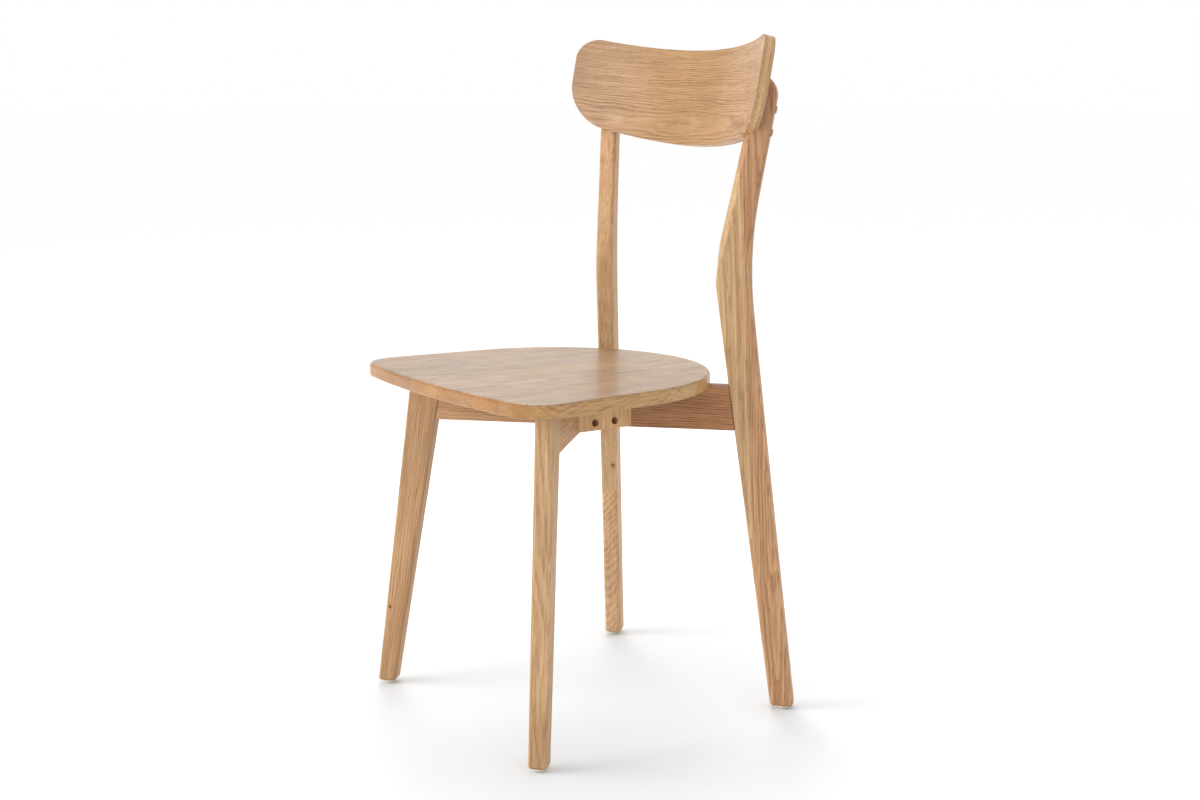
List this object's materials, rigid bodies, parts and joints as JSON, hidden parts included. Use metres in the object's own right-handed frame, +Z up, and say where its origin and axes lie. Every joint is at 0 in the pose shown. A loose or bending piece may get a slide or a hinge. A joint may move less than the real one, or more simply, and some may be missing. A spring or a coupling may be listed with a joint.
{
  "type": "dining chair",
  "caption": "Wooden dining chair: splayed legs on a crossed-rail frame carry a shield-shaped seat; two tall rear posts hold a curved plywood backrest.",
  "frame": {"origin": "on the floor, midway between the chair's left and right sides and midway between its front and rear", "axes": "-Y towards the front of the seat and +Y towards the backrest; +X to the right as seen from the front; +Z up. Left and right in node names are as seen from the front."},
  "size_m": [0.4346, 0.4444, 0.8835],
  "materials": {
    "leg_oak": "satin clear-lacquered oak, straight grain along the leg",
    "post_front_oak": "satin clear-lacquered oak, fine vertical grain",
    "post_back_oak": "satin clear-lacquered oak, flowing cathedral grain",
    "rail_oak": "satin clear-lacquered oak, grain along the rail",
    "block_oak": "satin clear-lacquered oak",
    "seat_oak": "satin clear-lacquered oak staves, grain front to back",
    "back_veneer_oak": "satin clear-lacquered oak veneer, horizontal grain",
    "ply_core": "bent plywood core, lacquered at the edges",
    "plug_oak": "turned oak button, end grain outwards",
    "screw_steel": null,
    "glide_plastic": "whitish hard plastic"
  },
  "bodies": {
    "root": {"front_left_leg": "leg_oak", "front_right_leg": "leg_oak", "rear_left_post_front_board": "post_front_oak", "rear_left_post_back_board": "post_back_oak", "rear_right_post_front_board": "post_front_oak", "rear_right_post_back_board": "post_back_oak", "cross_rail_rear_left": "rail_oak", "cross_rail_rear_right": "rail_oak", "corner_block_left": "block_oak", "corner_block_right": "block_oak", "seat_stave_1": "seat_oak", "seat_stave_2": "seat_oak", "seat_stave_3": "seat_oak", "seat_stave_4": "seat_oak", "seat_stave_5": "seat_oak", "seat_stave_6": "seat_oak", "seat_stave_7": "seat_oak", "backrest_front_veneer": "back_veneer_oak", "backrest_back_veneer": "back_veneer_oak", "backrest_core_front": "ply_core", "backrest_core_middle": "ply_core", "backrest_core_back": "ply_core", "corner_block_screws": "screw_steel", "seat_screws": "screw_steel", "backrest_screws": "screw_steel", "glide_nails": "screw_steel", "post_button_plugs": "plug_oak", "front_left_glide": "glide_plastic", "front_right_glide": "glide_plastic", "rear_left_glide": "glide_plastic", "rear_right_glide": "glide_plastic"}
  },
  "joints": []
}
